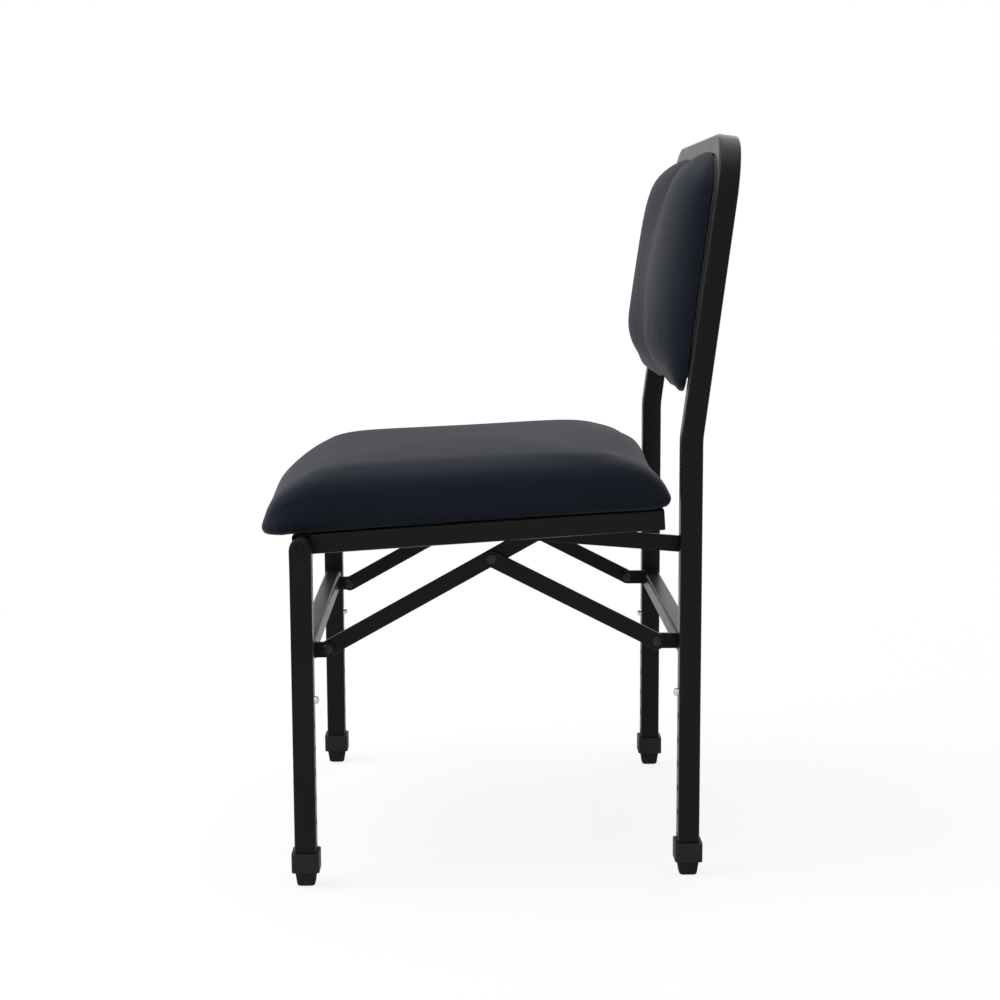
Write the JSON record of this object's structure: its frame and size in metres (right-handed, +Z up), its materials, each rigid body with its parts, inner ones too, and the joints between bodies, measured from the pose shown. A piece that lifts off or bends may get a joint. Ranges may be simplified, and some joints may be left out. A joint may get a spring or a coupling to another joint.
{
  "type": "folding musician chair",
  "caption": "Folding chair on black square tube frames with a padded seat, a two-lobed back pad, link bars that fold it flat and telescoping button-locked legs.",
  "frame": {"origin": "on the floor under the middle of the chair's box", "axes": "+Z up, -Y the way the sitter faces, +X the sitter's left"},
  "size_m": [0.4942, 0.4875, 0.7599],
  "materials": {
    "black_paint": "satin gloss",
    "fabric": "woven, dark navy",
    "plastic": "matte",
    "rubber": "matte",
    "bright_steel": "bright",
    "dark_steel": "blackened",
    "board": "black stained board"
  },
  "bodies": {
    "rear_frame": {"back_frame": "black_paint", "rear_stretcher": "black_paint", "back_panel": "board", "back_pad": "fabric", "rear_bracket_left": "black_paint", "rear_bracket_right": "black_paint", "rear_collar_left": "plastic", "rear_collar_right": "plastic", "rear_brace_rivet_left": "dark_steel", "rear_brace_rivet_right": "dark_steel", "back_screw_lower_left": "dark_steel", "back_screw_lower_right": "dark_steel", "back_screw_upper_left": "dark_steel", "back_screw_upper_right": "dark_steel"},
    "hinge_bars": {"hinge_bar_left": "black_paint", "hinge_bar_right": "black_paint"},
    "seat": {"seat_rail_left": "black_paint", "seat_rail_right": "black_paint", "seat_front_rail": "black_paint", "seat_rear_rail": "black_paint", "seat_board": "board", "seat_cushion": "fabric", "seat_screw_front": "dark_steel", "seat_screw_rear_left": "dark_steel", "seat_screw_rear_right": "dark_steel"},
    "rear_braces": {"rear_brace_left": "black_paint", "rear_brace_right": "black_paint", "knuckle_rivet_left": "dark_steel", "knuckle_rivet_right": "dark_steel"},
    "front_braces": {"front_brace_left": "black_paint", "front_brace_right": "black_paint", "brace_tail_rivet_left": "dark_steel", "brace_tail_rivet_right": "dark_steel"},
    "front_frame": {"front_leg_left": "black_paint", "front_leg_right": "black_paint", "front_stretcher": "black_paint", "front_bracket_left": "black_paint", "front_bracket_right": "black_paint", "front_collar_left": "plastic", "front_collar_right": "plastic", "front_brace_rivet_left": "dark_steel", "front_brace_rivet_right": "dark_steel", "seat_pivot_pin_left": "dark_steel", "seat_pivot_pin_right": "dark_steel"},
    "inner_leg_rear_left": {"inner_leg_rear_left": "black_paint", "rubber_tip_rear_left": "rubber", "button_spring_rear_left": "bright_steel"},
    "snap_button_rear_left": {"snap_button_rear_left": "bright_steel"},
    "inner_leg_rear_right": {"inner_leg_rear_right": "black_paint", "rubber_tip_rear_right": "rubber", "button_spring_rear_right": "bright_steel"},
    "snap_button_rear_right": {"snap_button_rear_right": "bright_steel"},
    "inner_leg_front_left": {"inner_leg_front_left": "black_paint", "rubber_tip_front_left": "rubber", "button_spring_front_left": "bright_steel"},
    "snap_button_front_left": {"snap_button_front_left": "bright_steel"},
    "inner_leg_front_right": {"inner_leg_front_right": "black_paint", "rubber_tip_front_right": "rubber", "button_spring_front_right": "bright_steel"},
    "snap_button_front_right": {"snap_button_front_right": "bright_steel"}
  },
  "joints": [
    {"name": "fold", "type": "hinge", "parent": "rear_frame", "child": "hinge_bars", "pos_m": [0, 0.1931, 0.3441], "axis": [-1, 0, 0], "range_deg": [0, 65.75]},
    {"name": "seat_swing", "type": "hinge", "parent": "hinge_bars", "child": "seat", "pos_m": [0, -0.01465, 0.36181], "axis": [1, 0, 0], "range_deg": [0, 151.5]},
    {"name": "rear_brace_swing", "type": "hinge", "parent": "rear_frame", "child": "rear_braces", "pos_m": [0, 0.1621, 0.242], "axis": [-1, 0, 0], "range_deg": [0, 57]},
    {"name": "knuckle", "type": "hinge", "parent": "rear_braces", "child": "front_braces", "pos_m": [0, -0.00944, 0.33002], "axis": [1, 0, 0], "range_deg": [0, 118.4]},
    {"name": "front_frame_swing", "type": "hinge", "parent": "front_braces", "child": "front_frame", "pos_m": [0, -0.1789, 0.236], "axis": [-1, 0, 0], "range_deg": [0, 61.4]},
    {"name": "leg_slide_rear_left", "type": "slide", "parent": "rear_frame", "child": "inner_leg_rear_left", "axis": [0, 0, -1], "range_m": [0, 0.1524]},
    {"name": "button_press_rear_left", "type": "slide", "parent": "inner_leg_rear_left", "child": "snap_button_rear_left", "axis": [0, 1, 0], "range_m": [0, 0.0068], "stiffness_N_per_m": 300, "deforming": ["button_spring_rear_left"]},
    {"name": "leg_slide_rear_right", "type": "slide", "parent": "rear_frame", "child": "inner_leg_rear_right", "axis": [0, 0, -1], "range_m": [0, 0.1524]},
    {"name": "button_press_rear_right", "type": "slide", "parent": "inner_leg_rear_right", "child": "snap_button_rear_right", "axis": [0, 1, 0], "range_m": [0, 0.0068], "stiffness_N_per_m": 300, "deforming": ["button_spring_rear_right"]},
    {"name": "leg_slide_front_left", "type": "slide", "parent": "front_frame", "child": "inner_leg_front_left", "axis": [0, 0, -1], "range_m": [0, 0.1524]},
    {"name": "button_press_front_left", "type": "slide", "parent": "inner_leg_front_left", "child": "snap_button_front_left", "axis": [0, -1, 0], "range_m": [0, 0.0068], "stiffness_N_per_m": 300, "deforming": ["button_spring_front_left"]},
    {"name": "leg_slide_front_right", "type": "slide", "parent": "front_frame", "child": "inner_leg_front_right", "axis": [0, 0, -1], "range_m": [0, 0.1524]},
    {"name": "button_press_front_right", "type": "slide", "parent": "inner_leg_front_right", "child": "snap_button_front_right", "axis": [0, -1, 0], "range_m": [0, 0.0068], "stiffness_N_per_m": 300, "deforming": ["button_spring_front_right"]}
  ],
  "couplings": [
    {"joint": "seat_swing", "follows": "fold", "ratio": 2.3034},
    {"joint": "rear_brace_swing", "follows": "fold", "ratio": 0.86661},
    {"joint": "knuckle", "follows": "fold", "ratio": 1.799},
    {"joint": "front_frame_swing", "follows": "fold", "ratio": 0.93243}
  ]
}
